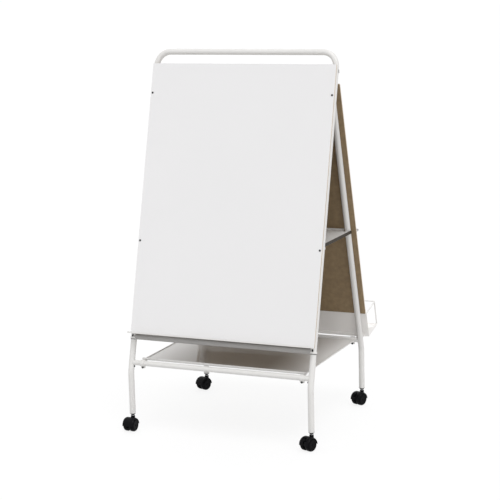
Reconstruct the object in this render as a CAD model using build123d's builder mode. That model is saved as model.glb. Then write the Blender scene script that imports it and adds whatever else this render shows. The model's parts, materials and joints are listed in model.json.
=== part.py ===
from build123d import *
from math import cos, sin, tan, radians
import os

os.makedirs("parts", exist_ok=True)

# Two-sided children's easel on casters. X runs to the right, Y to the back, Z up.
# The origin is on the floor, under the middle of the footprint. The front frame and the
# rear frame lean against each other like a letter A and meet at two hinge bolts.

# ---- driving dimensions: millimetres and degrees ----
lean = 15.16                # of each frame, from the vertical
hinge_z = 1313.5            # height of the hinge bolts
apex_y = -25.0              # the hinge line stands a little ahead of the origin

tube_r = 11.0               # 22 mm tube
tube_wall = 1.5
front_stile_x = 357.5       # tube centres of the front frame
rear_stile_x = 334.0        # the rear frame nests inside the front frame

front_board_width = 730.0
rear_board_width = 725.0
core_t = 5.0                # hardboard
face_t = 1.0                # white writing surface
front_board_top = 22.1      # heights along the leaning planes, from the hinge line
front_board_bottom = -986.9
rear_board_top = -53.0
rear_board_bottom = -984.0

rail_u = 69.1               # top rail of the front frame
rail_bend = 52.8
joint_u = -1007.0           # where the front legs plug into the upper frame
crossbar_u = -999.0         # tube under the front board
crossbar_r = 10.5
bend_z = 220.8              # the legs turn upright here
leg_bend = 70.0
foot_z = 64.0               # bottom of the leg tubes
lower_bar_z = 256.5         # crossbars that carry the lower shelf
lower_bar_r = 9.75

shelf_top_z = 263.5
shelf_half_x = 324.5
shelf_half_y = 266.0
shelf_sheet = 1.0
bead_r = 4.5

spreader_z = 702.0          # flat bars between the two frames, at half height
spreader_h = 12.0
mid_shelf_top_z = 706.0
mid_shelf_sheet = 1.2

tray_width = 730.0
tray_depth = 100.0
tray_height = 101.4
tray_sheet = 1.0
wire_r = 2.5

ledge_reach = 26.0          # front ledge, from the board's face
ledge_sheet = 1.2
ledge_lip = 6.0

wheel_r = 23.8
wheel_w = 17.5
wheel_gap = 10.0            # between the two wheels of a caster
caster_trail = 18.0         # from the swivel axis to the axle
axle_r = 3.0
stem_r = 4.0
hood_r = 27.4
hood_top_z = 54.7
running = 0.05              # radial clearance of what turns
brake_up = 42.0             # angle of the brake pedal above the level, released
brake_down = 14.0           # and pressed

# ---- worked out from these ----
run = cos(radians(lean))
rise = sin(radians(lean))
slope = tan(radians(lean))
wall_in_y = 1 / run
inner_r = tube_r - tube_wall
board_t = core_t + face_t
stile_gap = front_stile_x - rear_stile_x - 2 * tube_r
foot_y = (hinge_z - bend_z) * slope
right, left = 1, -1
beside_out = front_stile_x + 2 * tube_r     # past the outer side of the frames
beside_in = rear_stile_x - 2 * tube_r       # and past their inner side

front = Plane(origin=(0, apex_y, hinge_z), x_dir=(1, 0, 0), z_dir=(0, -run, rise))
rear = Plane(origin=(0, apex_y, hinge_z), x_dir=(-1, 0, 0), z_dir=(0, run, rise))
pieces = []


def depth_at(z):
    """How far a frame's tube centres stand from the hinge line at height z."""
    return (hinge_z - z) * slope


def level(z):
    """Distance along a leaning plane, from the hinge line, of height z."""
    return -(hinge_z - z) / run


def keep(name, piece):
    """Label a finished piece and note it for export."""
    piece.part.label = name
    pieces.append(piece.part)


def pipe(path, outer, inner=0):
    """Sweep a tube, or a solid rod, along a path and add it to the current part."""
    with BuildSketch(Plane(origin=path @ 0, z_dir=path % 0)) as ring:
        Circle(outer)
        if inner:
            Circle(inner, mode=Mode.SUBTRACT)
    sweep(ring.sketch, path=path)


def rod(plane, x, y, start, end, radius, mode=Mode.ADD):
    """Add a round bar that stands on a plane at (x, y)."""
    with BuildSketch(plane.offset(min(start, end))) as disc:
        with Locations((x, y)):
            Circle(radius)
    extrude(disc.sketch, amount=abs(end - start), mode=mode)


def bore(plane, x, y, start, end, radius):
    """Cut a round hole that stands on a plane at (x, y)."""
    rod(plane, x, y, start, end, radius, mode=Mode.SUBTRACT)


def slab(plane, x, y, width, height, start, end, mode=Mode.ADD):
    """Add a rectangular plate that is parallel to a plane."""
    with BuildSketch(plane.offset(start)) as outline:
        with Locations((x, y)):
            Rectangle(width, height)
    extrude(outline.sketch, amount=end - start, mode=mode)


# ---- screws through the boards into the stiles, four on each board ----
screw_u = (level(1227.0), level(692.5))
screw_r = 2.0
screw_head_r = 3.8
screw_head_h = 1.8
screw_reach = 4.0           # below the back of the board, into the tube


def screw_points(stile_x):
    return [(side * stile_x, u) for side in (left, right) for u in screw_u]


for name, plane, stile_x in (("front", front, front_stile_x), ("rear", rear, rear_stile_x)):
    with BuildPart() as board_screws:
        for x, u in screw_points(stile_x):
            rod(plane, x, u, tube_r - screw_reach, tube_r + board_t, screw_r)
            rod(plane, x, u, tube_r + board_t, tube_r + board_t + screw_head_h, screw_head_r)
    keep(name + "_board_screws", board_screws)

# ---- the two boards: hardboard with a white writing surface on its outer side ----
for name, plane, stile_x, width, top, bottom in (
    ("front", front, front_stile_x, front_board_width, front_board_top, front_board_bottom),
    ("rear", rear, rear_stile_x, rear_board_width, rear_board_top, rear_board_bottom),
):
    middle = (top + bottom) / 2
    with BuildPart() as board_core:
        slab(plane, 0, middle, width, top - bottom, tube_r, tube_r + core_t)
        for x, u in screw_points(stile_x):
            bore(plane, x, u, tube_r, tube_r + core_t, screw_r + running)
    keep(name + "_board_core", board_core)
    with BuildPart() as board_face:
        slab(plane, 0, middle, width, top - bottom, tube_r + core_t, tube_r + board_t)
        for x, u in screw_points(stile_x):
            bore(plane, x, u, tube_r + core_t, tube_r + board_t, screw_r + running)
    keep(name + "_board_face", board_face)

# ---- hinge bolts, one on each side, through both frames ----
bolt_r = 3.0
bolt_head_r = 4.6
bolt_head_h = 2.4
bolt_end = 2.0              # of the shank, past the nut
washer_r = 7.5
nut_r = 5.8
nut_h = 5.0
side_plane = Plane.YZ       # its normal is +X

with BuildPart() as hinge_bolts:
    outer = front_stile_x + tube_r
    inner = rear_stile_x - tube_r
    for side in (left, right):
        rod(side_plane, apex_y, hinge_z, side * (inner - nut_h - bolt_end), side * outer, bolt_r)
        rod(side_plane, apex_y, hinge_z, side * outer, side * (outer + bolt_head_h), bolt_head_r)
keep("hinge_bolts", hinge_bolts)

with BuildPart() as hinge_washers:
    for side in (left, right):
        start = rear_stile_x + tube_r
        rod(side_plane, apex_y, hinge_z, side * start, side * (start + stile_gap), washer_r)
        bore(side_plane, apex_y, hinge_z, side * start, side * (start + stile_gap), bolt_r + running)
keep("hinge_washers", hinge_washers)

with BuildPart() as hinge_nuts:
    start = rear_stile_x - tube_r
    for side in (left, right):
        with BuildSketch(side_plane.offset(side * start)):
            with Locations((apex_y, hinge_z)):
                RegularPolygon(radius=nut_r, side_count=6)
                Circle(bolt_r + running, mode=Mode.SUBTRACT)
        extrude(amount=-side * nut_h)
keep("hinge_nuts", hinge_nuts)

# ---- flat spreader bars that hold the two frames apart, and their rivets ----
spreader_end = depth_at(spreader_z)
rivet_r = 2.5
rivet_head_r = 5.0
rivet_head_h = 1.5
rivet_tail_h = 0.9
rivet_tail_r = 4.0

shelf_rivet_r = 2.0
shelf_rivet_head_h = 1.5
shelf_rivet_y = (apex_y - 110, apex_y + 80)
shelf_rivet_z = mid_shelf_top_z - 6

for side, word in ((left, "left"), (right, "right")):
    with BuildPart() as spreader:
        start = side * (rear_stile_x + tube_r)
        with BuildSketch(side_plane.offset(start)):
            with Locations((apex_y, spreader_z)):
                SlotCenterToCenter(2 * spreader_end, spreader_h)
                with Locations((-spreader_end, 0), (spreader_end, 0)):
                    Circle(rivet_r + running, mode=Mode.SUBTRACT)
        extrude(amount=side * stile_gap)
        for y in shelf_rivet_y:
            bore(side_plane, y, shelf_rivet_z, start, start + side * stile_gap, shelf_rivet_r + running)
    keep("spreader_bar_" + word, spreader)

with BuildPart() as spreader_rivets:
    for side in (left, right):
        gap_in = rear_stile_x + tube_r
        gap_out = front_stile_x - tube_r
        for y, far, near in (
            (apex_y - spreader_end, front_stile_x + tube_r, gap_in),
            (apex_y + spreader_end, rear_stile_x - tube_r, gap_out),
        ):
            way = 1 if far > near else -1
            rod(side_plane, y, spreader_z, side * near, side * far, rivet_r)
            rod(side_plane, y, spreader_z, side * far, side * (far + way * rivet_head_h), rivet_head_r)
            rod(side_plane, y, spreader_z, side * near, side * (near - way * rivet_tail_h), rivet_tail_r)
keep("spreader_rivets", spreader_rivets)

# ---- screws at the leg joints, on the front of the tubes just under the board ----
joint_screw_u = -996.4
joint_screw_r = 2.2
joint_head_r = 3.2
joint_head_low = tube_r - 0.4
joint_head_top = tube_r + 2.2
with BuildPart() as leg_joint_screws:
    for side in (left, right):
        rod(front, side * front_stile_x, joint_screw_u, inner_r - 2 * tube_wall, tube_r, joint_screw_r)
        rod(front, side * front_stile_x, joint_screw_u, joint_head_low, joint_head_top, joint_head_r)
keep("leg_joint_screws", leg_joint_screws)

# ---- upper frame at the front: one tube bent into an upturned U ----
with BuildPart() as front_upper_frame:
    with BuildLine(front) as path:
        FilletPolyline(
            (-front_stile_x, joint_u),
            (-front_stile_x, rail_u),
            (front_stile_x, rail_u),
            (front_stile_x, joint_u),
            radius=rail_bend,
        )
    pipe(path.line, tube_r, inner_r)
    for x, u in screw_points(front_stile_x):
        bore(front, x, u, 0, tube_r, screw_r + running)
    for side in (left, right):
        start = side * gap_in
        end = side * beside_out
        bore(side_plane, apex_y, hinge_z, start, end, bolt_r + running)
        bore(side_plane, apex_y - spreader_end, spreader_z, start, end, rivet_r + running)
        x = side * front_stile_x
        bore(front, x, joint_screw_u, 0, tube_r, joint_screw_r + running)
        bore(front, x, joint_screw_u, joint_head_low, joint_head_top, joint_head_r + running)
keep("front_upper_frame", front_upper_frame)

# ---- crossbar under the front board, coped to the stiles and their collars ----
collar_h = 7.0
collar_r = tube_r + 2.2
cope_gap = 0.2
along = Plane(origin=front.origin, x_dir=(1, 0, 0), z_dir=front.y_dir)
with BuildPart() as front_upper_crossbar:
    with BuildSketch(side_plane.offset(-front_stile_x)):
        bar_z = hinge_z + crossbar_u * run
        with Locations((apex_y - depth_at(bar_z), bar_z)):
            Circle(crossbar_r)
            Circle(crossbar_r - tube_wall, mode=Mode.SUBTRACT)
    extrude(amount=2 * front_stile_x)
    for side in (left, right):
        x = side * front_stile_x
        bore(along, x, 0, joint_u, rail_u, tube_r + running)
        bore(along, x, 0, joint_u - 2 * crossbar_r, joint_u + collar_h, collar_r + cope_gap)
keep("front_upper_crossbar", front_upper_crossbar)

# ---- collars on the ends of the upper frame, and plastic bushes between them and the legs ----
bush_h = 3.0
bush_r = tube_r + 0.8
with BuildPart() as leg_collars:
    for side in (left, right):
        rod(along, side * front_stile_x, 0, joint_u, joint_u + collar_h, collar_r)
        bore(along, side * front_stile_x, 0, joint_u, joint_u + collar_h, tube_r + running)
keep("leg_collars", leg_collars)

with BuildPart() as leg_bushes:
    for side in (left, right):
        rod(along, side * front_stile_x, 0, joint_u - bush_h, joint_u, bush_r)
        bore(along, side * front_stile_x, 0, joint_u - bush_h, joint_u, inner_r + running)
keep("leg_bushes", leg_bushes)

# ---- dark bolts that hold the lower crossbars, on the inner side of each leg ----
bar_y = depth_at(lower_bar_z)
bar_bolt_r = 2.5
bar_bolt_head_r = 3.4
bar_bolt_head_h = 3.0
bar_bolt_reach = 3.0        # how far the shank ends from the leg's axis
bolt_off = lower_bar_r + bar_bolt_head_r + cope_gap
corners = {
    "front_left": (-front_stile_x, -1),
    "front_right": (front_stile_x, -1),
    "rear_left": (-rear_stile_x, 1),
    "rear_right": (rear_stile_x, 1),
}


def bar_bolt_place(way):
    """Y and Z of a crossbar's bolts: under the front crossbar and above the rear one."""
    z = lower_bar_z + way * bolt_off
    return apex_y + way * depth_at(z), z


with BuildPart() as crossbar_bolts:
    for x, way in corners.values():
        side = right if x > 0 else left
        y, z = bar_bolt_place(way)
        head_at = x - side * tube_r
        rod(side_plane, y, z, x - side * bar_bolt_reach, head_at, bar_bolt_r)
        rod(side_plane, y, z, head_at, head_at - side * bar_bolt_head_h, bar_bolt_head_r)
keep("crossbar_bolts", crossbar_bolts)

# ---- front legs: a swaged end inside the upper frame, a bend, then upright ----
spigot = 50.0
spigot_root = 8.0
for word, side in (("left", left), ("right", right)):
    with BuildPart() as leg:
        top_z = hinge_z + (joint_u - bush_h) * run
        with BuildLine(side_plane.offset(side * front_stile_x)) as path:
            FilletPolyline(
                (apex_y - depth_at(top_z), top_z),
                (apex_y - foot_y, bend_z),
                (apex_y - foot_y, foot_z),
                radius=leg_bend,
            )
        pipe(path.line, tube_r, inner_r)
        low = joint_u - bush_h - spigot_root
        rod(along, side * front_stile_x, 0, low, joint_u + spigot, inner_r)
        bore(along, side * front_stile_x, 0, low, joint_u + spigot, inner_r - tube_wall)
        y, z = bar_bolt_place(-1)
        bore(side_plane, y, z, side * front_stile_x, side * beside_in, bar_bolt_r + running)
        bore(front, side * front_stile_x, joint_screw_u, 0, tube_r, joint_screw_r + running)
    keep("front_leg_" + word, leg)

# ---- rear legs: straight from the hinge to the bend, then upright ----
hinge_overlap = 12.0        # tube above the hinge bolt
mitre = 80.0
for word, side in (("left", left), ("right", right)):
    with BuildPart() as leg:
        with BuildLine(side_plane.offset(side * rear_stile_x)) as path:
            FilletPolyline(
                (apex_y - hinge_overlap * rise, hinge_z + hinge_overlap * run),
                (apex_y + foot_y, bend_z),
                (apex_y + foot_y, foot_z),
                radius=leg_bend,
            )
        pipe(path.line, tube_r, inner_r)
        # the top end is mitred to clear the back of the front board
        cut = tube_r - cope_gap
        slab(front, side * rear_stile_x, 0, 4 * tube_r, mitre, cut, cut + mitre, mode=Mode.SUBTRACT)
        start = side * beside_in
        end = side * beside_out
        bore(side_plane, apex_y, hinge_z, start, end, bolt_r + running)
        bore(side_plane, apex_y + spreader_end, spreader_z, start, end, rivet_r + running)
        for u in screw_u:
            bore(rear, -side * rear_stile_x, u, 0, tube_r, screw_r + running)
        y, z = bar_bolt_place(1)
        bore(side_plane, y, z, side * rear_stile_x, side * beside_in, bar_bolt_r + running)
    keep("rear_leg_" + word, leg)

# ---- lower crossbars, coped to the legs ----
for name, way, x in (("front", -1, front_stile_x), ("rear", 1, rear_stile_x)):
    with BuildPart() as crossbar:
        with BuildSketch(side_plane.offset(-x)):
            with Locations((apex_y + way * bar_y, lower_bar_z)):
                Circle(lower_bar_r)
                Circle(lower_bar_r - tube_wall, mode=Mode.SUBTRACT)
        extrude(amount=2 * x)
        leg_axis = Plane(origin=(0, apex_y, hinge_z), x_dir=(1, 0, 0), z_dir=(0, -way * slope, 1))
        along_leg = level(lower_bar_z)
        for side in (left, right):
            bore(leg_axis, side * x, 0, along_leg - spigot, along_leg + spigot, tube_r + running)
    keep(name + "_lower_crossbar", crossbar)

# ---- ledge along the bottom of the front board ----
with BuildPart() as front_ledge:
    bottom = front_board_bottom
    width = front_board_width
    lip_at = tube_r + board_t + ledge_reach
    slab(front, 0, bottom - ledge_sheet / 2, width, ledge_sheet, tube_r + running, lip_at)
    slab(front, 0, bottom - ledge_sheet + ledge_lip / 2, width, ledge_lip, lip_at, lip_at + ledge_sheet)
keep("front_ledge", front_ledge)

# ---- lower shelf: steel sheet whose front and rear edges turn up and roll outward ----
shelf_low = shelf_top_z - shelf_sheet
bead_z = shelf_low + bead_r
bead_y = shelf_half_y - bead_r
turn_up = bead_y - bead_r + shelf_sheet / 2
with BuildPart() as lower_shelf:
    with BuildSketch(side_plane.offset(-shelf_half_x)):
        with Locations((apex_y, shelf_low + shelf_sheet / 2)):
            Rectangle(2 * turn_up, shelf_sheet)
        for way in (-1, 1):
            with Locations((apex_y + way * bead_y, bead_z)):
                Circle(bead_r)
                Circle(bead_r - shelf_sheet, mode=Mode.SUBTRACT)
                with Locations((-way * bead_r / 2, -bead_r / 2)):
                    Rectangle(bead_r, bead_r, mode=Mode.SUBTRACT)
            with Locations((apex_y + way * turn_up, shelf_low + bead_r / 2)):
                Rectangle(shelf_sheet, bead_r)
    extrude(amount=2 * shelf_half_x)
keep("lower_shelf", lower_shelf)

# ---- strap clips that hang the shelf on the lower crossbars, and their pinch screws ----
clip_w = 15.0
clip_t = 1.6
clip_gap = 3.0
clip_in = lower_bar_r + running
clip_ear = 8.0
tab_w = 9.0
tab_reach = 34.0
tab_z = shelf_low - 0.1 - clip_t / 2
ear_screw_z = lower_bar_z - lower_bar_r - clip_t - clip_ear / 2
ear_screw_r = 2.0
clip_x = {-1: (-311.0, 322.0), 1: (-302.0, 302.0)}
for name, way in (("front", -1), ("rear", 1)):
    with BuildPart() as shelf_clips:
        y = apex_y + way * bar_y
        for x in clip_x[way]:
            with BuildSketch(side_plane.offset(x - clip_w / 2)) as strap:
                with Locations((y, lower_bar_z)):
                    Circle(clip_in + clip_t)
                    with Locations((0, -clip_in - clip_ear / 2)):
                        Rectangle(clip_gap + 2 * clip_t, clip_ear)
                    Circle(clip_in, mode=Mode.SUBTRACT)
                    with Locations((0, -clip_in - clip_ear / 2)):
                        Rectangle(clip_gap, clip_ear + 2 * clip_t, mode=Mode.SUBTRACT)
            extrude(strap.sketch, amount=clip_w)
            with BuildSketch(side_plane.offset(x - tab_w / 2)) as tab:
                with Locations((y - way * (clip_in - clip_t + tab_reach / 2), tab_z)):
                    Rectangle(tab_reach, clip_t)
                with Locations((y, lower_bar_z)):
                    Circle(clip_in, mode=Mode.SUBTRACT)
            extrude(tab.sketch, amount=tab_w)
            bore(Plane.XZ, x, ear_screw_z, -y - clip_w, -y + clip_w, ear_screw_r + running)
    keep(name + "_shelf_clips", shelf_clips)

ear_head_r = 3.6
ear_head_h = 2.2
ear_nut_r = 3.4
ear_nut_h = 2.6
with BuildPart() as clip_screws:
    half = clip_gap / 2 + clip_t
    for way in (-1, 1):
        y = apex_y + way * bar_y
        head_at = -y + half
        nut_at = -y - half
        for x in clip_x[way]:
            rod(Plane.XZ, x, ear_screw_z, nut_at, head_at, ear_screw_r)
            rod(Plane.XZ, x, ear_screw_z, head_at, head_at + ear_head_h, ear_head_r)
            rod(Plane.XZ, x, ear_screw_z, nut_at - ear_nut_h, nut_at, ear_nut_r)
keep("clip_screws", clip_screws)

# ---- mid shelf: a steel tray riveted between the spreader bars, notched round the rear legs ----
mid_half_x = rear_stile_x + tube_r - 0.2
mid_front_y = apex_y - depth_at(mid_shelf_top_z) + 8
mid_rear_y = apex_y + depth_at(mid_shelf_top_z) + 6
mid_flange = 9.0            # sides, turned down
mid_upstand = 8.0           # rear edge, turned up
notch = 50.0
notch_gap = 3.0
with BuildPart() as mid_shelf:
    low = mid_shelf_top_z - mid_shelf_sheet
    depth = mid_rear_y - mid_front_y
    middle = (mid_rear_y + mid_front_y) / 2
    half_sheet = mid_shelf_sheet / 2
    slab(Plane.XY, 0, middle, 2 * mid_half_x, depth, low, mid_shelf_top_z)
    for side in (left, right):
        x = side * (mid_half_x - half_sheet)
        slab(Plane.XY, x, middle, mid_shelf_sheet, depth, low - mid_flange, low)
    slab(Plane.XY, 0, mid_rear_y - half_sheet, 2 * mid_half_x, mid_shelf_sheet, low, low + mid_upstand)
    notch_y = apex_y + depth_at(low) - tube_r * wall_in_y - notch_gap
    for side in (left, right):
        x = side * (rear_stile_x - tube_r - 2 * notch_gap + notch / 2)
        slab(Plane.XY, x, notch_y + notch / 2, notch, notch, low - notch, low + notch, mode=Mode.SUBTRACT)
        for y in shelf_rivet_y:
            inside = side * (mid_half_x - 2 * mid_shelf_sheet)
            bore(side_plane, y, shelf_rivet_z, inside, side * mid_half_x, shelf_rivet_r + running)
keep("mid_shelf", mid_shelf)

# ---- rivets that hold the mid shelf on the spreader bars, flush outside ----
with BuildPart() as mid_shelf_rivets:
    for side in (left, right):
        flange_in = side * (mid_half_x - mid_shelf_sheet)
        head_in = flange_in - side * shelf_rivet_head_h
        bar_out = side * (front_stile_x - tube_r)
        for y in shelf_rivet_y:
            rod(side_plane, y, shelf_rivet_z, head_in, bar_out, shelf_rivet_r)
            rod(side_plane, y, shelf_rivet_z, head_in, flange_in, 2 * shelf_rivet_r)
keep("mid_shelf_rivets", mid_shelf_rivets)

# ---- rear tray below the rear board, square to the leaning plane ----
tray_top = rear_board_bottom - 0.4
tray_low = tray_top - tray_height
tray_in = tube_r + board_t - tray_sheet
tray_out = tube_r + board_t + tray_depth
tray_half_x = tray_width / 2
seat_gap = 0.1              # between the tray's flanges and the legs
foot_flange = 12.0
end_back_h = 38.0
end_middle_h = 15.0
end_front_h = 3.0
with BuildPart() as rear_tray:
    on_leg = tube_r + seat_gap
    slab(rear, 0, tray_low + tray_height / 2, tray_width, tray_height, tray_in, tray_in + tray_sheet)
    slab(rear, 0, tray_top - tray_sheet / 2, tray_width, tray_sheet, on_leg, tray_in)
    slab(rear, 0, tray_low + tray_sheet / 2, tray_width, tray_sheet, tray_in, tray_out)
    slab(rear, 0, tray_low + end_front_h / 2, tray_width, end_front_h, tray_out - tray_sheet, tray_out)
    slab(rear, 0, tray_low + foot_flange / 2, 2 * (rear_stile_x + tube_r), foot_flange, on_leg, tray_in)
keep("rear_tray", rear_tray)

for word, side in (("left", left), ("right", right)):
    with BuildPart() as tray_end:
        end_plane = Plane(origin=rear.origin, x_dir=rear.y_dir, z_dir=(1, 0, 0))
        start = side * (tray_half_x - tray_sheet) if side > 0 else -tray_half_x
        with BuildSketch(end_plane.offset(start)):
            with BuildLine():
                base = tray_low + tray_sheet
                near = -tray_in - tray_sheet
                far = -tray_out + tray_sheet
                halfway = (base + end_middle_h, (near + far) / 2)
                ThreePointArc((base + end_back_h, near), halfway, (base + end_front_h, far))
                Line((base + end_front_h, far), (base, far))
                Line((base, far), (base, near))
                Line((base, near), (base + end_back_h, near))
            make_face()
        extrude(amount=tray_sheet)
    keep("tray_end_" + word, tray_end)

# ---- wire rail of the tray: up from the floor's front corners and round to the back plate ----
wire_bend = 4.0
with BuildPart() as tray_wire_rail:
    inset = wire_bend * (1 - cos(radians(45)))
    wire_out = tray_out + wire_r + seat_gap + inset
    wire_x = tray_half_x - wire_r
    wire_end = tray_in + tray_sheet + seat_gap
    top_u = tray_top - wire_r
    with BuildLine() as path:
        FilletPolyline(
            rear.from_local_coords((-wire_x, top_u, wire_end)),
            rear.from_local_coords((-wire_x, top_u, wire_out)),
            rear.from_local_coords((wire_x, top_u, wire_out)),
            rear.from_local_coords((wire_x, top_u, wire_end)),
            radius=wire_bend,
        )
    pipe(path.line, wire_r)
    upright = Plane(origin=rear.origin, x_dir=rear.x_dir, z_dir=rear.y_dir)
    for side in (left, right):
        rod(upright, side * (wire_x - inset), inset - wire_out, tray_low, top_u, wire_r)
keep("tray_wire_rail", tray_wire_rail)

# ---- screws that hold the tray on the rear legs, each over a spacer ----
tray_screw_u = tray_low + 60
tray_spacer_r = 5.0
tray_head_r = 4.2
tray_head_h = 2.2
with BuildPart() as tray_screws:
    head_at = tray_in + tray_sheet
    for side in (left, right):
        rod(rear, side * rear_stile_x, tray_screw_u, tube_r, tray_in, tray_spacer_r)
        rod(rear, side * rear_stile_x, tray_screw_u, head_at, head_at + tray_head_h, tray_head_r)
keep("tray_screws", tray_screws)

# ---- pad pegs on the rear board: a flange, a shank and a knob at its end ----
peg_u = level(686.0)
peg_x = 350.0
peg_len = 40.0
peg_r = 3.5
peg_flange_r = 8.0
peg_flange_h = 2.5
peg_knob_r = 5.0
peg_knob_h = 4.0
with BuildPart() as pad_pegs:
    seat = tube_r + board_t
    peg_end = seat + peg_len
    for side in (left, right):
        rod(rear, side * peg_x, peg_u, seat, seat + peg_flange_h, peg_flange_r)
        rod(rear, side * peg_x, peg_u, seat, peg_end, peg_r)
        rod(rear, side * peg_x, peg_u, peg_end - peg_knob_h, peg_end, peg_knob_r)
keep("pad_pegs", pad_pegs)

# ---- caster sockets in the ends of the leg tubes ----
socket_top = foot_z + 38
socket_low = foot_z - 5.5
socket_low_r = 7.0
stem_top = foot_z + 32
with BuildPart() as caster_sockets:
    for x, way in corners.values():
        y = apex_y + way * foot_y
        rod(Plane.XY, x, y, foot_z, socket_top, inner_r - running)
        with BuildSketch(Plane.XY.offset(foot_z)):
            with Locations((x, y)):
                Circle(tube_r + tube_wall / 3)
        with BuildSketch(Plane.XY.offset(socket_low)):
            with Locations((x, y)):
                Circle(socket_low_r)
        loft()
        bore(Plane.XY, x, y, socket_low, stem_top + 1, stem_r + running)
keep("caster_sockets", caster_sockets)

# ---- one caster at the origin: swivel axis at x = 0, the axle trails along +X ----
wheel_in = wheel_gap / 2
wheel_out = wheel_in + wheel_w
web_half = wheel_in - 0.5
axle_plane = Plane.XZ       # its normal is -Y
hub_r = 12.0
boss_r = 8.0
stem_sunk = 19.0            # of the stem, inside the boss
stem_ring_r = 6.0
stem_ring_h = 3.0
shoulder = 8.0              # rounding of a wheel's outer edge
dish = 1.5
hub_cap_r = 4.0
pedal_hub_r = 9.0
pedal_half = 2.0            # half the thickness of the pedal's plate
slot_half = 2.4
slot_low, slot_high = -15.0, 66.0
slot_reach = 40.0
arm_end = 30.0
pedal_tip = 34.5
pedal_half_w = 8.0


def slot_corner(angle):
    """Outer corner of the pedal's slot, at an angle above the level."""
    return caster_trail + slot_reach * cos(radians(angle)), wheel_r + slot_reach * sin(radians(angle))


def make_hood(with_brake):
    """Half a drum over the two wheels, with a web between them and a boss for the stem."""
    with BuildPart() as hood:
        half_w = wheel_out - 0.5
        rod(axle_plane, caster_trail, wheel_r, -half_w, half_w, hood_r)
        slab(Plane.XY, caster_trail, 0, 4 * hood_r, 4 * hood_r, -hood_r, wheel_r - 1, mode=Mode.SUBTRACT)
        rod(Plane.XY, 0, 0, wheel_r, hood_top_z, boss_r)
        for way in (-1, 1):
            bore(axle_plane, caster_trail, wheel_r, way * web_half, way * (wheel_out + 1), wheel_r + 1.3)
        rod(axle_plane, caster_trail, wheel_r, -web_half, web_half, hub_r)
        bore(axle_plane, caster_trail, wheel_r, -wheel_out, wheel_out, axle_r)
        bore(Plane.XY, 0, 0, hood_top_z - stem_sunk - 1, hood_top_z + 1, stem_r)
        if with_brake:
            bore(axle_plane, caster_trail, wheel_r, -slot_half, slot_half, pedal_hub_r + 0.6)
            with BuildSketch(axle_plane.offset(-slot_half)):
                with BuildLine():
                    hub = (caster_trail, wheel_r)
                    Polyline(hub, slot_corner(slot_low), slot_corner(slot_high), close=True)
                make_face()
            extrude(amount=2 * slot_half, mode=Mode.SUBTRACT)
    return hood.part


with BuildPart() as stem:
    rod(Plane.XY, 0, 0, hood_top_z - stem_sunk, stem_top, stem_r)
    rod(Plane.XY, 0, 0, hood_top_z + 0.1, hood_top_z + stem_ring_h, stem_ring_r)

with BuildPart() as axle:
    rod(axle_plane, caster_trail, wheel_r, 4 - wheel_out, wheel_out - 4, axle_r)


def make_wheel(way):
    """One wheel: rounded tread, dished outer face, blind hub bore."""
    tread = 2 * wheel_r
    with BuildPart() as wheel:
        with BuildSketch(Plane.YZ.offset(caster_trail)):
            with BuildLine():
                Polyline(
                    (wheel_in, wheel_r),
                    (wheel_in, tread - dish),
                    (wheel_in + dish, tread),
                    (wheel_out - shoulder, tread),
                )
                RadiusArc((wheel_out - shoulder, tread), (wheel_out, tread - shoulder), shoulder)
                Polyline(
                    (wheel_out, tread - shoulder),
                    (wheel_out - dish, tread - shoulder - 2 * dish),
                    (wheel_out - dish, wheel_r + hub_cap_r + dish),
                    (wheel_out, wheel_r + hub_cap_r),
                    (wheel_out, wheel_r),
                    (wheel_in, wheel_r),
                )
            make_face()
        revolve(axis=Axis((caster_trail, 0, wheel_r), (0, 1, 0)))
        bore(axle_plane, caster_trail, wheel_r, 1 - wheel_in, 3.5 - wheel_out, axle_r + running)
    if way > 0:
        return wheel.part
    return mirror(wheel.part, about=Plane.XZ)


def make_brake(angle):
    """Brake pedal that turns on the axle, between the two wheels."""
    with BuildPart() as brake:
        outward = (cos(radians(angle)), 0, sin(radians(angle)))
        turned = Plane(origin=(caster_trail, 0, wheel_r), x_dir=outward, z_dir=(0, -1, 0))
        rod(turned, 0, 0, -pedal_half, pedal_half, pedal_hub_r)
        arm_start = pedal_hub_r - 1
        slab(turned, (arm_start + arm_end) / 2, 0, arm_end - arm_start, 7, -pedal_half, pedal_half)
        tab_start = arm_end - 1
        slab(turned, (tab_start + pedal_tip) / 2, 0, pedal_tip - tab_start, 3.5, -pedal_half_w, pedal_half_w)
        bore(turned, 0, 0, -pedal_half, pedal_half, axle_r + running)
    return brake.part


trail_heading = {"front_left": -92.0, "front_right": -110.6, "rear_left": -110.6, "rear_right": -110.6}
brake_angle = {"front_right": brake_up, "rear_right": brake_down}

for corner, (x, way) in corners.items():
    parts = {
        "hood": make_hood(corner in brake_angle),
        "stem": stem.part,
        "axle": axle.part,
        "wheel_a": make_wheel(-1),
        "wheel_b": make_wheel(1),
    }
    if corner in brake_angle:
        parts["brake"] = make_brake(brake_angle[corner])
    for word, made in parts.items():
        with BuildPart() as placed:
            with Locations(Location((x, apex_y + way * foot_y, 0), (0, 0, trail_heading[corner]))):
                add(made)
        keep(corner + "_" + word, placed)

for piece in pieces:
    export_step(piece, "parts/" + piece.label + ".step")
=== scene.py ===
import bmesh
import bpy
import json
from math import cos, pi, radians, sin, tau
from mathutils import Matrix, Quaternion, Vector


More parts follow.
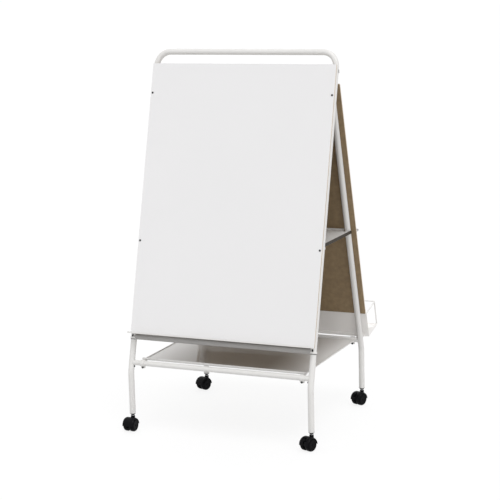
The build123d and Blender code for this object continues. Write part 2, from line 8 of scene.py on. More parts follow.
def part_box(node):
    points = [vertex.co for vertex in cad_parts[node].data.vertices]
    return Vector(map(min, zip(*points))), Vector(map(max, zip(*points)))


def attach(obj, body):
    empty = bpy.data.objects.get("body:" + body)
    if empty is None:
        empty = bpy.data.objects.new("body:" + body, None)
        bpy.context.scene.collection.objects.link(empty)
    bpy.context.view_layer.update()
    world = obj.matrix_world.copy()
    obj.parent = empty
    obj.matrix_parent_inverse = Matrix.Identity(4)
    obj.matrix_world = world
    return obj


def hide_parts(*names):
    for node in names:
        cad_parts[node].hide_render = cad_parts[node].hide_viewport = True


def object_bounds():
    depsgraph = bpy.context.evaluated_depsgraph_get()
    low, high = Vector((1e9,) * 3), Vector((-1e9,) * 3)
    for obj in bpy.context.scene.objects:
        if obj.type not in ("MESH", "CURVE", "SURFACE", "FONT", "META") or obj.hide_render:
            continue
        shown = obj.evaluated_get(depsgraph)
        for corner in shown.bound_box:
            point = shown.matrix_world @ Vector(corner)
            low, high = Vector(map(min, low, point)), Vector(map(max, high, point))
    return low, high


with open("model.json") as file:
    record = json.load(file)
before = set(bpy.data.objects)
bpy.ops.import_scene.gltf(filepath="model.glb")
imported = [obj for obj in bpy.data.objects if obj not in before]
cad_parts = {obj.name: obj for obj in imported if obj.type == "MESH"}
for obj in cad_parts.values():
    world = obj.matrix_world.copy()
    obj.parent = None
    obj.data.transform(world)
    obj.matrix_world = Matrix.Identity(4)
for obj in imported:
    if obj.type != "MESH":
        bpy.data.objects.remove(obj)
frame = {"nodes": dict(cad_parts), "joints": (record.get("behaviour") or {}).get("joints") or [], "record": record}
cad_low, cad_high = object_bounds()
nodes = frame["nodes"]
middle = (cad_low + cad_high) / 2

# ---- camera, floor and lights ----
yaw, pitch, roll = radians(24.07), radians(-10.92), radians(-1.5)
aim = middle + Vector((-0.0009, -0.0139, -0.0522))
distance = 5.8196
forward = Vector((-sin(yaw) * cos(pitch), cos(yaw) * cos(pitch), sin(pitch)))

camera = bpy.data.objects.new("camera", bpy.data.cameras.new("camera"))
bpy.context.scene.collection.objects.link(camera)
camera.data.lens = 112
camera.data.sensor_width = 36
camera.rotation_mode = "QUATERNION"
camera.rotation_quaternion = forward.to_track_quat("-Z", "Y") @ Quaternion((0, 0, 1), roll)
camera.location = aim - forward * distance
camera.data.clip_end = 500
bpy.context.scene.camera = camera
bpy.context.scene.view_settings.view_transform = "Standard"


def sun_light(name, energy, angle, direction, mirrored=True):
    """A very large soft box far away, shining along a direction, seen in reflections or not."""
    lamp = bpy.data.objects.new(name, bpy.data.lights.new(name, "SUN"))
    bpy.context.scene.collection.objects.link(lamp)
    lamp.data.energy = energy
    lamp.data.angle = radians(angle)
    lamp.rotation_euler = Vector(direction).to_track_quat("-Z", "Y").to_euler()
    lamp.visible_glossy = mirrored


sun_light("key", 1.25, 35, (-0.20, 0.26, -0.945))
sun_light("front_fill", 0.4, 60, (-0.30, 0.95, -0.02), mirrored=False)
sun_light("side_fill", 0.4, 50, (-0.93, 0.28, -0.22), mirrored=False)
sun_light("rear_fill", 0.9, 50, (0.25, -0.80, -0.45), mirrored=False)


def seen_or_lit(tree, seen, lit):
    """Mix two shaders: one where it is seen or mirrored, the other for its light on the object."""
    path = tree.nodes.new("ShaderNodeLightPath")
    either = tree.nodes.new("ShaderNodeMath")
    either.operation = "MAXIMUM"
    tree.links.new(path.outputs["Is Camera Ray"], either.inputs[0])
    tree.links.new(path.outputs["Is Glossy Ray"], either.inputs[1])
    mix = tree.nodes.new("ShaderNodeMixShader")
    tree.links.new(either.outputs[0], mix.inputs["Fac"])
    tree.links.new(lit.outputs[0], mix.inputs[1])
    tree.links.new(seen.outputs[0], mix.inputs[2])
    return mix.outputs[0]


def studio_world(light):
    """Even light from all round, which is seen as plain white."""
    world = bpy.data.worlds.new("studio")
    bpy.context.scene.world = world
    world.use_nodes = True
    tree = world.node_tree
    lit = tree.nodes["Background"]
    lit.inputs["Strength"].default_value = light
    seen = tree.nodes.new("ShaderNodeBackground")
    for background in (lit, seen):
        background.inputs["Color"].default_value = (1, 1, 1, 1)
    surface = seen_or_lit(tree, seen, lit)
    tree.links.new(surface, tree.nodes["World Output"].inputs["Surface"])


studio_world(light=0.73)

bpy.ops.mesh.primitive_plane_add(size=240, location=(0, 0, 0))
floor = bpy.context.object
floor.name = "floor"


# ---- materials ----
BUMP_DEPTH = 0.00004     # metres
FINE_BUMP = "fine_bump"  # name of the node that the shelf sheet's crown looks up


def finish(name, colour, roughness, metallic=0.0, spot=0.03, spot_scale=12, bump_scale=900,
           coat=0.0, specular=0.5):
    """A painted or moulded surface: slight mottling, uneven gloss and a fine grain."""
    material = bpy.data.materials.new(name)
    material.use_nodes = True
    tree = material.node_tree
    shader = tree.nodes["Principled BSDF"]
    shader.inputs["Metallic"].default_value = metallic
    shader.inputs["Coat Weight"].default_value = coat
    shader.inputs["Specular IOR Level"].default_value = specular

    where = tree.nodes.new("ShaderNodeTexCoord")
    cloud = tree.nodes.new("ShaderNodeTexNoise")
    cloud.inputs["Scale"].default_value = spot_scale
    cloud.inputs["Detail"].default_value = 6
    tree.links.new(where.outputs["Object"], cloud.inputs["Vector"])
    ramp = tree.nodes.new("ShaderNodeValToRGB")
    darker, plain = ramp.color_ramp.elements
    darker.position, plain.position = 0.3, 0.7
    darker.color = (*[c * (1 - spot) for c in colour], 1)
    plain.color = (*colour, 1)
    tree.links.new(cloud.outputs["Fac"], ramp.inputs["Fac"])
    tree.links.new(ramp.outputs["Color"], shader.inputs["Base Color"])

    gloss = tree.nodes.new("ShaderNodeMapRange")
    gloss.inputs["To Min"].default_value = roughness * 0.85
    gloss.inputs["To Max"].default_value = roughness * 1.15
    tree.links.new(cloud.outputs["Fac"], gloss.inputs["Value"])
    tree.links.new(gloss.outputs["Result"], shader.inputs["Roughness"])

    grain = tree.nodes.new("ShaderNodeTexNoise")
    grain.inputs["Scale"].default_value = bump_scale
    tree.links.new(where.outputs["Object"], grain.inputs["Vector"])
    bump = tree.nodes.new("ShaderNodeBump")
    bump.name = FINE_BUMP
    bump.inputs["Strength"].default_value = 0.5
    bump.inputs["Distance"].default_value = BUMP_DEPTH
    tree.links.new(grain.outputs["Fac"], bump.inputs["Height"])
    tree.links.new(bump.outputs["Normal"], shader.inputs["Normal"])
    return material


def math_node(tree, operation, *values):
    """The result of a math node whose inputs are sockets or plain numbers."""
    node = tree.nodes.new("ShaderNodeMath")
    node.operation = operation
    for socket, value in zip(node.inputs, values):
        if isinstance(value, bpy.types.NodeSocket):
            tree.links.new(value, socket)
        else:
            socket.default_value = value
    return node.outputs[0]


def tint(tree, factor, colour):
    """Lay another colour over a material's own one, as strongly as a factor says."""
    base = tree.nodes["Principled BSDF"].inputs["Base Color"]
    mix = tree.nodes.new("ShaderNodeMix")
    mix.data_type = "RGBA"
    mix.inputs["B"].default_value = (*colour, 1)
    tree.links.new(factor, mix.inputs["Factor"])
    tree.links.new(base.links[0].from_socket, mix.inputs["A"])
    tree.links.new(mix.outputs["Result"], base)


def sawn_edges(material, colour):
    """Another colour on the faces that look sideways, which are a board's sawn edges."""
    tree = material.node_tree
    faced = tree.nodes.new("ShaderNodeNewGeometry")
    split = tree.nodes.new("ShaderNodeSeparateXYZ")
    tree.links.new(faced.outputs["True Normal"], split.inputs["Vector"])
    tint(tree, math_node(tree, "ABSOLUTE", split.outputs["X"]), colour)


def bow_and_shade_sheet(material, node, crown, lit_end_colour, unshaded_edge_colour):
    """Crown a flat sheet's gloss, and paint shade on it: its own colour stands as painted shade, lightened to a
    painted lit tone at its two ends and to the plain powder white at its front and rear edges.

    The sheet's own coordinates run from -1 to 1 along X and Y, and their squares say how near a
    place is to an end or an edge.
    """
    tree = material.node_tree
    low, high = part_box(node)
    where = tree.nodes.new("ShaderNodeTexCoord")
    place = tree.nodes.new("ShaderNodeMapping")
    place.vector_type = "TEXTURE"
    place.inputs["Location"].default_value = (low + high) / 2
    place.inputs["Scale"].default_value = ((high.x - low.x) / 2, (high.y - low.y) / 2, 1)
    tree.links.new(where.outputs["Object"], place.inputs["Vector"])
    split = tree.nodes.new("ShaderNodeSeparateXYZ")
    tree.links.new(place.outputs["Vector"], split.inputs["Vector"])
    x_square, y_square = [
        math_node(tree, "MULTIPLY", split.outputs[along], split.outputs[along]) for along in "XY"]

    x_arch, y_arch = [math_node(tree, "SUBTRACT", 1, square) for square in (x_square, y_square)]
    bow = tree.nodes.new("ShaderNodeBump")
    bow.inputs["Distance"].default_value = crown
    tree.links.new(math_node(tree, "MULTIPLY", x_arch, y_arch), bow.inputs["Height"])
    tree.links.new(bow.outputs["Normal"], tree.nodes[FINE_BUMP].inputs["Normal"])
    tree.links.new(bow.outputs["Normal"], tree.nodes["Principled BSDF"].inputs["Coat Normal"])

    # painted light: the ends lighten out of the painted shade to a lit tone, and the front and rear edges to the
    # plain white
    for square, start, full, colour in (
        (x_square, 0.2, 0.85, lit_end_colour),
        (y_square, 0.86, 0.93, unshaded_edge_colour),
    ):
        near = tree.nodes.new("ShaderNodeMapRange")
        near.inputs["From Min"].default_value = start
        near.inputs["From Max"].default_value = full
        tree.links.new(square, near.inputs["Value"])
        tint(tree, near.outputs["Result"], colour)


def white_paper(material):
    """Make a floor be seen as nearly plain white, while it lights the object by its own look."""
    tree = material.node_tree
    paper = tree.nodes.new("ShaderNodeBsdfDiffuse")
    paper.inputs["Color"].default_value = (0.9, 0.9, 0.9, 1)
    glow = tree.nodes.new("ShaderNodeEmission")
    glow.inputs["Strength"].default_value = 1.0
    pale = tree.nodes.new("ShaderNodeMixShader")
    pale.inputs["Fac"].default_value = 0.86
    tree.links.new(paper.outputs[0], pale.inputs[1])
    tree.links.new(glow.outputs[0], pale.inputs[2])
    surface = seen_or_lit(tree, pale, tree.nodes["Principled BSDF"])
    tree.links.new(surface, tree.nodes["Material Output"].inputs["Surface"])


powder = finish("white_powder_coat", (0.73, 0.72, 0.705), roughness=0.42)
# painted light: a lighter copy of the white powder coat for the rear tray and its ends, standing in for light that
# reaches them
painted_light_powder = finish("bright_powder_coat", (0.88, 0.86, 0.84), roughness=0.42)
# painted shade: the front upper crossbar's white powder coat, darkened for the shade it lies in under the ledge
painted_shade_powder = finish("dusty_powder_coat", (0.36, 0.35, 0.34), roughness=0.5, spot=0.08)
spreader_paint = finish("spreader_paint", (0.045, 0.036, 0.026), roughness=0.55, specular=0.2)
board_white = finish("board_white", (0.78, 0.775, 0.78), roughness=0.55, spot=0.012, spot_scale=3)
hardboard = finish("hardboard", (0.31, 0.222, 0.126), roughness=0.6, spot=0.25, spot_scale=60)
sawn_edges(hardboard, (0.60, 0.50, 0.38))
dark_screw = finish("dark_screw", (0.03, 0.03, 0.03), roughness=0.4, metallic=0.6)
zinc = finish("zinc", (0.6, 0.6, 0.6), roughness=0.35, metallic=1.0)
steel = finish("bright_steel", (0.42, 0.42, 0.43), roughness=0.25, metallic=1.0)
black = finish("black_plastic", (0.004, 0.004, 0.005), roughness=0.38, spot=0.2, specular=0.08)
tyre = finish("black_tyre", (0.003, 0.003, 0.004), roughness=0.46, spot=0.3, bump_scale=1600,
              specular=0.07)
nylon = finish("grey_nylon", (0.16, 0.16, 0.155), roughness=0.5, spot=0.1)
# the lower shelf is a white powder-coated sheet; this dark brown-grey is painted shade under the boards, tinged
# brown as a painted reflection of the hardboard
shaded_shelf_sheet = finish("shelf_gloss_in_painted_shade", (0.34, 0.305, 0.27), roughness=0.3, coat=0.55, spot=0.06,
                      spot_scale=5, specular=0.2)
bow_and_shade_sheet(shaded_shelf_sheet, "lower_shelf", crown=0.008, lit_end_colour=(0.76, 0.745, 0.73),
          unshaded_edge_colour=(0.73, 0.72, 0.705))
floor_look = finish("floor", (0.62, 0.62, 0.62), roughness=0.7, spot=0.01, spot_scale=2)
white_paper(floor_look)
floor.data.materials.append(floor_look)

slot_looks = {
    "white_powder_coat": powder, "spreader_paint": spreader_paint,
    "writing_surface": board_white, "hardboard": hardboard, "dark_screw": dark_screw,
    "zinc": zinc, "black_plastic": black, "bright_steel": steel,
}
own_looks = {
    "lower_shelf": shaded_shelf_sheet, "leg_bushes": nylon, "front_upper_crossbar": painted_shade_powder,
    "rear_tray": painted_light_powder, "tray_end_left": painted_light_powder, "tray_end_right": painted_light_powder,
    "mid_shelf_rivets": spreader_paint,
}
for name, node in nodes.items():
    slot = node.data.materials[0].name.split(".")[0]
    node.data.materials[0] = own_looks.get(name, slot_looks[slot])


# ---- measures, read from the frame ----
MM = 0.001
UP = Vector((0, 0, 1))
RIGHT = Vector((1, 0, 0))


def reach(node, origin, axis):
    """The least and greatest distance of a node's vertices from a point, along an axis."""
    far = [(v.co - origin).dot(axis) for v in nodes[node].data.vertices]
    return min(far), max(far)


def middle_of(node):
    """Middle of a node's box."""
    low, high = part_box(node)
    return (low + high) / 2


def spots(node):
    """Middles of a node's like solids, one to each quarter of its box as seen from the front."""
    centre = middle_of(node)
    groups = {}
    for vertex in nodes[node].data.vertices:
        quarter = (vertex.co.x > centre.x, vertex.co.z > centre.z)
        groups.setdefault(quarter, []).append(vertex.co)
    found = []
    for group in groups.values():
        least = Vector([min(co[i] for co in group) for i in range(3)])
        most = Vector([max(co[i] for co in group) for i in range(3)])
        found.append((least + most) / 2)
    return found


hinge = middle_of("hinge_bolts")
leg_low, leg_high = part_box("front_leg_right")
tube_r = (leg_high.x - leg_low.x) / 2
front_x = leg_high.x - tube_r
rear_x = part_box("rear_leg_right")[1].x - tube_r
lean = radians(15.16)  # of both frames, from upright
front_normal = Vector((0, -cos(lean), sin(lean)))
front_up = Vector((0, sin(lean), cos(lean)))
rear_normal = Vector((0, cos(lean), sin(lean)))
rear_up = Vector((0, -sin(lean), cos(lean)))
board_sides = (("front", front_normal, front_up), ("rear", rear_normal, rear_up))


# ---- mesh helpers ----
def standing(origin, axis, towards=None):
    """Matrix whose Z is an axis at an origin, with its X near a second direction."""
    z = axis.normalized()
    x = (towards or (UP if abs(z.z) < 0.9 else RIGHT))
    x = (x - z * x.dot(z)).normalized()
    place = Matrix((x, z.cross(x), z)).transposed().to_4x4()
    place.translation = origin
    return place


def skin(bm, rings, closed=False):
    """Join rings of points into a closed solid. A closed run of rings makes a ring-shaped solid."""
    rows = [[bm.verts.new(point) for point in ring] for ring in rings]
    after = rows[1:] + rows[:1] if closed else rows[1:]
    for row, other in zip(rows, after):
        for i in range(len(row)):
            j = (i + 1) % len(row)
            bm.faces.new((row[i], row[j], other[j], other[i]))
    if not closed:
        bm.faces.new(rows[0])
        bm.faces.new(rows[-1])


def lathe(bm, profile, place, count=40, closed=False):
    """Turn (radius, height) points about the Z axis of a placement."""
    turns = [tau * i / count for i in range(count)]
    rings = [[place @ Vector((r * cos(t), r * sin(t), h)) for t in turns] for r, h in profile]
    skin(bm, rings, closed)


def oval(centre, first, first_r, second, second_r, count):
    """Points of an oval around a centre, with its two half-widths along two directions."""
    turns = [tau * k / count for k in range(count)]
    return [centre + first * first_r * cos(t) + second * second_r * sin(t) for t in turns]


def arc(centre_x, centre_y, radius, start, end, steps):
    """Points of an arc in a flat section, between two angles in degrees."""
    angles = [radians(start + (end - start) * i / steps) for i in range(steps + 1)]
    return [(centre_x + radius * cos(a), centre_y + radius * sin(a)) for a in angles]


MANY_SIDED = 20  # corners from which a face is taken for a shape's flat end


def piece(name, bm, body, look, replaced=(), sharp=32):
    """Finish a mesh as a piece of the object: normals, shading, material and body, and hide the parts it replaces.
    """
    bmesh.ops.recalc_face_normals(bm, faces=bm.faces)
    mesh = bpy.data.meshes.new(name)
    bm.to_mesh(mesh)
    bm.free()
    mesh.materials.append(look)
    mesh.set_sharp_from_angle(angle=radians(sharp))
    # a shape's many-sided ends are flat, and the rest is smooth up to its sharp edges. This
    # comes after the sharp edges, because setting those clears the flat faces
    smooth = [len(face.vertices) < MANY_SIDED for face in mesh.polygons]
    mesh.polygons.foreach_set("use_smooth", smooth)
    made = bpy.data.objects.new(name, mesh)
    bpy.context.scene.collection.objects.link(made)
    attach(made, body)
    if replaced:
        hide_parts(*replaced)


def cut(bm, cutter):
    """Take one solid away from another and return the rest as a new bmesh."""
    held = []
    for solid in (bm, cutter):
        bmesh.ops.recalc_face_normals(solid, faces=solid.faces)
        mesh = bpy.data.meshes.new("cutting")
        solid.to_mesh(mesh)
        solid.free()
        held.append(bpy.data.objects.new("cutting", mesh))
        bpy.context.scene.collection.objects.link(held[-1])
    boolean = held[0].modifiers.new("cut", "BOOLEAN")
    boolean.object = held[1]
    boolean.solver = "EXACT"
    bpy.context.view_layer.update()
    rest = bmesh.new()
    rest.from_mesh(held[0].evaluated_get(bpy.context.evaluated_depsgraph_get()).to_mesh())
    for made in held:
        mesh = made.data
        bpy.data.objects.remove(made)
        bpy.data.meshes.remove(mesh)
    return rest


# ---- boards ----
def sheet_slab(bm, node, normal, up, edge, corner):
    """A flat sheet in a node's place, with rounded corners and softened edges."""
    side = up.cross(normal)
    centre = middle_of(node)
    half_w = reach(node, centre, side)[1]
    foot, head = reach(node, centre, up)
    half_h = (head - foot) / 2
    low, high = reach(node, centre, normal)
    round_off = 0.3 * edge  # the softened edge's middle is this far in from both its faces
    corner_steps = 6
    rings = []
    for inset, level in ((edge, low), (round_off, low + round_off), (0, low + edge),
                         (0, high - edge), (round_off, high - round_off), (edge, high)):
        ring = []
        for turn, (sx, sy) in enumerate(((1, 1), (-1, 1), (-1, -1), (1, -1))):
            for step in range(corner_steps + 1):
                angle = tau * turn / 4 + tau * step / (4 * corner_steps)
                x = sx * (half_w - corner) + (corner - inset) * cos(angle)
                y = sy * (half_h - corner) + (corner - inset) * sin(angle)
                ring.append(centre + side * x + up * y + normal * level)
        rings.append(ring)
    skin(bm, rings)


for end, normal, up in board_sides:
    for part, look, slot in (("face", board_white, "writing_surface"),
                             ("core", hardboard, "hardboard")):
        node = f"{end}_board_{part}"
        bm = bmesh.new()
        sheet_slab(bm, node, normal, up, edge=0.35 * MM, corner=3 * MM)
        piece(node + "_sheet", bm, "stand", look, [node], sharp=60)


# ---- screws, bolts and rivets ----
def in_cross(x, y, radius):
    """Whether a place on a head of some radius lies in its cross recess."""
    wide, long = 0.15 * radius, 0.62 * radius
    return (abs(x) < wide and abs(y) < long) or (abs(y) < wide and abs(x) < long)


def in_hexagon(x, y, radius):
    """Whether a place on a head of some radius lies in its hexagon socket."""
    flat = 0.42 * radius
    return all(abs(x * cos(t) + y * sin(t)) < flat for t in (0, tau / 6, tau / 3))


def headed(bm, place, radius, height, shank_r, shank, recess=None):
    """A domed head on a plain shank, with a driver's recess in it."""
    top_rings, count = 16, 48
    rim_share, crown_share, recess_share = 0.55, 0.45, 0.6
    first = 0.25  # the innermost ring stays this part of a step from the middle
    rings = []
    for k in range(top_rings + 1):
        r = radius * (k + first) / (top_rings + first)
        dome = height * (rim_share + crown_share * (1 - (r / radius) ** 2) ** 0.5)
        ring = []
        for i in range(count):
            x, y = r * cos(tau * i / count), r * sin(tau * i / count)
            sunk = recess_share * height if recess and recess(x, y, radius) else 0
            ring.append(place @ Vector((x, y, dome - sunk)))
        rings.append(ring)
    for r, h in ((radius, 0), (shank_r, 0), (shank_r, -shank)):
        rings.append([place @ Vector((r * cos(tau * i / count), r * sin(tau * i / count), h))
                      for i in range(count)])
    skin(bm, rings)


SCREW_TURN = 0.7  # radians by which each screw's cross is turned further than the last one's

for end, normal, up in board_sides:
    bm = bmesh.new()
    surface = reach(end + "_board_face", hinge, normal)[1]
    for k, spot in enumerate(spots(end + "_board_screws")):
        seat = spot - normal * ((spot - hinge).dot(normal) - surface)
        turned = up * cos(SCREW_TURN * k) + normal.cross(up) * sin(SCREW_TURN * k)
        headed(bm, standing(seat, normal, turned), radius=3.8 * MM, height=1.8 * MM,
               shank_r=2 * MM, shank=9 * MM, recess=in_cross)
    piece(end + "_board_pan_screws", bm, "stand", dark_screw,
          [end + "_board_screws"])

bm = bmesh.new()
top = reach("leg_joint_screws", hinge, front_normal)[1]
head_height = 2.2 * MM
for spot in spots("leg_joint_screws"):
    seat = spot - front_normal * ((spot - hinge).dot(front_normal) - top + head_height)
    headed(bm, standing(seat, front_normal, front_up), radius=3.2 * MM, height=head_height,
           shank_r=2 * MM, shank=4 * MM, recess=in_cross)
piece("leg_joint_pan_screws", bm, "stand", dark_screw, ["leg_joint_screws"])

bm = bmesh.new()
for spot in spots("crossbar_bolts"):
    side = 1 if spot.x > 0 else -1
    stile = front_x if spot.y < hinge.y else rear_x
    seat = Vector((side * (stile - tube_r), spot.y, spot.z))
    headed(bm, standing(seat, RIGHT * -side), radius=3.4 * MM, height=3 * MM,
           shank_r=2.5 * MM, shank=6 * MM, recess=in_hexagon)
piece("crossbar_socket_bolts", bm, "stand", dark_screw, ["crossbar_bolts"])

bm = bmesh.new()
into_nut = 7 * MM
for spot in spots("hinge_bolts"):
    side = 1 if spot.x > 0 else -1
    seat = Vector((side * (front_x + tube_r), spot.y, spot.z))
    headed(bm, standing(seat, RIGHT * side), radius=4.6 * MM, height=2.4 * MM, shank_r=3 * MM,
           shank=2 * tube_r + (front_x - rear_x) + into_nut, recess=in_hexagon)
piece("hinge_button_bolts", bm, "stand", zinc, ["hinge_bolts"])

# each rivet goes through a stile and the spreader bar beside it, with its large head on the
# stile and its small one on the bar
rivet_low, rivet_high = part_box("spreader_rivets")
rivet_inset = 5 * MM  # from the end of the rivets' box to their axis
rivet_z = (rivet_low.z + rivet_high.z) / 2
for end, rivet_y, head_x, tail_x, look, slot, replaced in (
    ("front", rivet_low.y + rivet_inset, front_x + tube_r, rear_x + tube_r,
     powder, "white_powder_coat", ["spreader_rivets"]),
    ("rear", rivet_high.y - rivet_inset, rear_x - tube_r, front_x - tube_r,
     spreader_paint, "spreader_paint", []),
):
    bm = bmesh.new()
    for side in (-1, 1):
        seat = Vector((side * head_x, rivet_y, rivet_z))
        tail = Vector((side * tail_x, rivet_y, rivet_z))
        out = (seat - tail).normalized()
        headed(bm, standing(seat, out), radius=5 * MM, height=1.5 * MM, shank_r=2.5 * MM,
               shank=(seat - tail).length)
        headed(bm, standing(tail, -out), radius=4 * MM, height=0.9 * MM, shank_r=2.4 * MM,
               shank=1 * MM)
    piece(f"spreader_{end}_domed_rivets", bm, "stand", look, replaced)


# ---- weld beads where the crossbars meet the stiles and legs ----
def weld(bm, centre, bar_r, side, normal, up):
    """A rippled bead around the mouth of a coped crossbar, which also sways slowly in thickness."""
    steps, sides = 78, 8
    bead = 1.25 * MM
    ripples, ripple_share = 26, 0.13
    sways, sway_share, sway_start = 3, 0.08, centre.y * 40
    rings = []
    for i in range(steps):
        angle = tau * i / steps
        across, along = bar_r * cos(angle), bar_r * sin(angle)
        x = centre.x - side * (tube_r ** 2 - across ** 2) ** 0.5
        mouth = Vector((x, centre.y, centre.z)) + normal * across + up * along
        outward = (normal * cos(angle) + up * sin(angle)).normalized()
        thick = bead * (1 + ripple_share * sin(ripples * angle)
                        + sway_share * sin(sways * angle + sway_start))
        rings.append(oval(mouth, outward, thick, RIGHT, thick, sides))
    skin(bm, rings, closed=True)


bm = bmesh.new()
for bar, stile_x, normal, up in (
    ("front_upper_crossbar", front_x, front_normal, front_up),
    ("front_lower_crossbar", front_x, front_normal, front_up),
    ("rear_lower_crossbar", rear_x, rear_normal, rear_up),
):
    low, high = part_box(bar)
    centre = (low + high) / 2
    for side in (-1, 1):
        at = Vector((side * stile_x, centre.y, centre.z))
        weld(bm, at, (high.z - low.z) / 2, side, normal, up)
piece("crossbar_welds", bm, "stand", powder)


# ---- moulded bands of the shelf clips around the lower crossbars ----
band_gap, band_edge, band_crown, band_slope = 0.1 * MM, 1.6 * MM, 2.6 * MM, 1 * MM
band_overhang = 0.8 * MM
bm = bmesh.new()
for end in ("front", "rear"):
    low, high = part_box(end + "_lower_crossbar")
    bar_r = (high.z - low.z) / 2
    for side in (-1, 1):
        clip = nodes[end + "_shelf_clips"].data
        xs = [v.co.x for v in clip.vertices if v.co.x * side > 0]
        half = (max(xs) - min(xs)) / 2 + band_overhang
        at = Vector(((max(xs) + min(xs)) / 2, (low.y + high.y) / 2, (low.z + high.z) / 2))
        band = [(bar_r + band_gap, -half), (bar_r + band_edge, -half),
                (bar_r + band_crown, band_slope - half), (bar_r + band_crown, half - band_slope),
                (bar_r + band_edge, half), (bar_r + band_gap, half)]
        lathe(bm, band, standing(at, RIGHT), closed=True)
piece("shelf_clip_bands", bm, "stand", powder)


# ---- hems on the side edges of the lower shelf ----
shelf_low, shelf_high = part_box("lower_shelf")
shelf_top = frame["record"]["mounts"][0]["pos_m"][2]
hem_half_w, hem_half_h, hem_level = 2.9 * MM, 1.3 * MM, 0.9 * MM
hem_end, hem_full = 9.2 * MM, 10.2 * MM  # a hem's tip and its full section, from the sheet's ends
tip_half_w, tip_half_h = 2.4 * MM, 0.9 * MM
bm = bmesh.new()
for side in (-1, 1):
    rings = []
    for y, half_w, half_h in (
        (shelf_low.y + hem_end, tip_half_w, tip_half_h),
        (shelf_low.y + hem_full, hem_half_w, hem_half_h),
        (shelf_high.y - hem_full, hem_half_w, hem_half_h),
        (shelf_high.y - hem_end, tip_half_w, tip_half_h),
    ):
        centre = Vector((side * (shelf_high.x - hem_half_w), y, shelf_top + hem_level))
        rings.append(oval(centre, RIGHT, half_w, UP, half_h, 16))
    skin(bm, rings)
piece("lower_shelf_hems", bm, "stand", powder)


# ---- casters ----
AXLE_BORE_R = 3.05 * MM
STEM_BORE_R = 4.02 * MM
SHOULDER = 8 * MM        # of the wheels, which the hood follows
WHEEL_GAP = 1.3 * MM     # between the wheels and the hood
WEB_GAP = 0.5 * MM       # between the wheels and the web that stands between them
PEDAL_HALF = 2.4 * MM    # half the width of the slot for the brake pedal


def wheel_profile(radius, inner, outer):
    """Wheel in section as (radius, height): hub cap, dish, round shoulder, tread and blind bore."""
    centre_r = 0.05 * MM  # a pin hole, where the end faces close
    rim = radius - SHOULDER
    points = [(centre_r, outer + 0.1 * MM), (2.2 * MM, outer), (3.6 * MM, outer - 0.5 * MM)]
    points += [(4.2 * MM, outer - 1.5 * MM), (5.0 * MM, outer - 1.5 * MM)]
    points += [(5.5 * MM, outer - 1.0 * MM)]
    points += [(rim - 2.6 * MM, outer - 0.6 * MM), (rim - 2.1 * MM, outer - 1.0 * MM)]
    points += [(rim - 1.5 * MM, outer - 1.0 * MM), (rim - 1.0 * MM, outer - 0.3 * MM)]
    points += arc(rim, outer - SHOULDER, SHOULDER, 86, 8, 9)
    groove, groove_depth = outer - SHOULDER - 1.5 * MM, 0.5 * MM
    points += [(radius, groove), (radius - groove_depth, groove - 0.3 * MM)]
    points += [(radius - groove_depth, groove - 0.7 * MM), (radius, groove - 1.0 * MM)]
    points += [(radius, inner + 1.5 * MM), (radius - 1.2 * MM, inner)]
    points += [(7 * MM, inner), (6.5 * MM, inner + 0.5 * MM)]
    bore_end = outer - 3.6 * MM
    points += [(AXLE_BORE_R + 0.6 * MM, inner + 0.5 * MM), (AXLE_BORE_R, inner + 0.9 * MM)]
    points += [(AXLE_BORE_R, bore_end), (centre_r, bore_end)]
    return points


def hood_section(hood_r, radius, outer, web):
    """Half-drum hood in section, as (height along the axle, distance from the axle)."""
    lip, crown = 50, 90  # degrees at which the shell ends over a wheel's shoulder, and its top
    around = (outer - SHOULDER, radius - SHOULDER)
    inside = arc(*around, SHOULDER + WHEEL_GAP, crown, lip, 8)
    outside = arc(*around, SHOULDER + (hood_r - radius), lip, crown, 8)
    half = [(web, 3.2 * MM), (web, radius + WHEEL_GAP)] + inside + outside
    return half + [(-h, r) for h, r in reversed(half)]


def boss_section(top):
    """The round boss around the stem in section, as (radius, height above the axle)."""
    neck_r, foot_r, foot = 8 * MM, 8.8 * MM, 6 * MM
    return [(STEM_BORE_R, top - 17 * MM), (STEM_BORE_R, top), (6.9 * MM, top),
            (7.7 * MM, top - 0.5 * MM), (neck_r, top - 1.4 * MM), (neck_r, top - 8 * MM),
            (foot_r, top - 11 * MM), (foot_r, foot), (STEM_BORE_R, foot)]


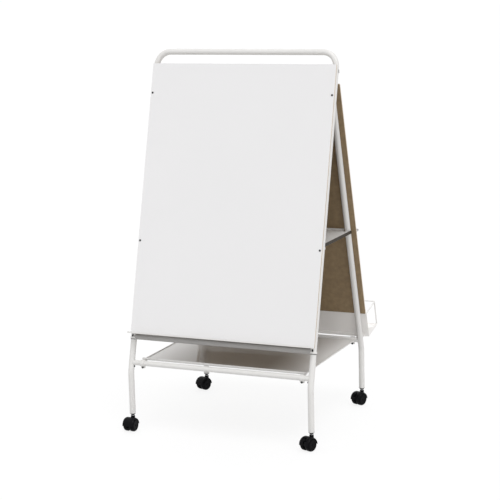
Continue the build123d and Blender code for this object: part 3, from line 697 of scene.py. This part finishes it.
def hood_mesh(place, pivot, radius, hood_r, boss_top, outer, web, braked):
    """The hood with its web and stem boss, and with a slot for the pedal if it is braked."""
    trail, across, hub = place.col[0].xyz, place.col[1].xyz, place.translation
    bm = bmesh.new()
    section = hood_section(hood_r, radius, outer, web)
    steps = 48
    skin(bm, [[place @ Vector((r * cos(pi * i / steps), h, r * sin(pi * i / steps)))
               for h, r in section] for i in range(steps + 1)])
    if braked:
        slot_reach = 45 * MM  # well past the hood
        wedge = [(0, 0)] + [(slot_reach * cos(radians(a)), slot_reach * sin(radians(a)))
                            for a in (-15, 25, 66)]
        pedal_slot = bmesh.new()
        skin(pedal_slot, [[place @ Vector((x, h, z)) for x, z in wedge]
                          for h in (-PEDAL_HALF, PEDAL_HALF)])
        bm = cut(bm, pedal_slot)
        hub_room = bmesh.new()
        hub_room_r = 9.6 * MM
        lathe(hub_room, [(hub_room_r, -PEDAL_HALF), (hub_room_r, PEDAL_HALF)],
              standing(hub, across))
        bm = cut(bm, hub_room)
    web_hub_r = 12 * MM
    for low, high in ((-web, -PEDAL_HALF), (PEDAL_HALF, web)) if braked else ((-web, web),):
        ring = [(AXLE_BORE_R, low), (web_hub_r, low), (web_hub_r, high), (AXLE_BORE_R, high)]
        lathe(bm, ring, standing(hub, across), 48, closed=True)

    boss = bmesh.new()
    at = Vector((pivot.x, pivot.y, hub.z))
    lathe(boss, boss_section(boss_top), standing(at, UP, trail), closed=True)
    wheel_rooms = bmesh.new()
    for way in (-1, 1):
        ends = [(radius + WHEEL_GAP, way * web), (radius + WHEEL_GAP, way * (outer + 5 * MM))]
        lathe(wheel_rooms, ends, standing(hub, across), 64)
    boss = cut(boss, wheel_rooms)
    mesh = bpy.data.meshes.new("boss")
    boss.to_mesh(mesh)
    boss.free()
    bm.from_mesh(mesh)
    bpy.data.meshes.remove(mesh)
    return bm


def mould_lines(place, across, hood_r, start, end):
    """Two fine lines over a hood's crown, from one angle in degrees to another."""
    bm = bmesh.new()
    off_middle, steps = 6.2 * MM, 40
    for h in (-off_middle, off_middle):
        rings = []
        for i in range(steps + 1):
            angle = radians(start + (end - start) * i / steps)
            centre = place @ Vector((hood_r * cos(angle), h, hood_r * sin(angle)))
            out = (centre - place @ Vector((0, h, 0))).normalized()
            rings.append(oval(centre, out, 0.35 * MM, across, 0.5 * MM, 6))
        skin(bm, rings)
    return bm


def make_caster(corner, pivot, hub, across):
    """Wheels, hood and mould lines of one caster, measured from its CAD nodes."""
    braked = corner + "_brake" in nodes
    trail = Vector((hub.x - pivot.x, hub.y - pivot.y, 0)).normalized()
    place = Matrix((trail, across, UP)).transposed().to_4x4()  # X along the trail, Y the axle
    place.translation = hub
    inner, outer = reach(corner + "_wheel_b", hub, across)
    hood_r = reach(corner + "_hood", hub, trail)[1]
    boss_top = reach(corner + "_hood", hub, UP)[1]
    radius = hub.z
    body = corner + "_caster"

    for letter, way in (("a", -1), ("b", 1)):
        bm = bmesh.new()
        lathe(bm, wheel_profile(radius, inner, outer), standing(hub, across * way), 72)
        node = f"{corner}_wheel_{letter}"
        piece(node + "_moulded", bm, node, tyre, [node], sharp=40)

    bm = hood_mesh(place, pivot, radius, hood_r, boss_top, outer, inner - WEB_GAP, braked)
    piece(corner + "_hood_moulded", bm, body, black, [corner + "_hood"], sharp=35)
    # the lines start behind the pedal's slot where there is one
    bm = mould_lines(place, across, hood_r, 72 if braked else 4, 176)
    piece(corner + "_hood_mould_lines", bm, body, black)


joints = {joint["name"]: joint for joint in frame["joints"]}
for corner in ("front_left", "front_right", "rear_left", "rear_right"):
    spin = joints[corner + "_wheel_b_spin"]
    pivot = Vector(joints[corner + "_swivel"]["pos_m"])
    make_caster(corner, pivot, Vector(spin["pos_m"]), Vector(spin["axis"]))

# ---- softened edges on the sheet metal and small parts that stay, in millimetres ----
soft_edges = {
    "front_ledge": 0.4, "rear_tray": 0.3, "mid_shelf": 0.4, "lower_shelf": 0.3,
    "tray_end_left": 0.3, "tray_end_right": 0.3, "front_shelf_clips": 0.4, "rear_shelf_clips": 0.4,
    "spreader_bar_left": 0.3, "spreader_bar_right": 0.3, "hinge_nuts": 0.4,
    "front_right_brake": 0.5, "rear_right_brake": 0.5, "leg_collars": 0.5, "leg_bushes": 0.3,
}
for name, width in soft_edges.items():
    joined = nodes[name].modifiers.new("joined", "WELD")
    joined.merge_threshold = 0.00001
    soft = nodes[name].modifiers.new("soft_edge", "BEVEL")
    soft.width = width * MM
    soft.segments = 2
    soft.limit_method = "ANGLE"
    soft.angle_limit = radians(40)
    soft.harden_normals = True
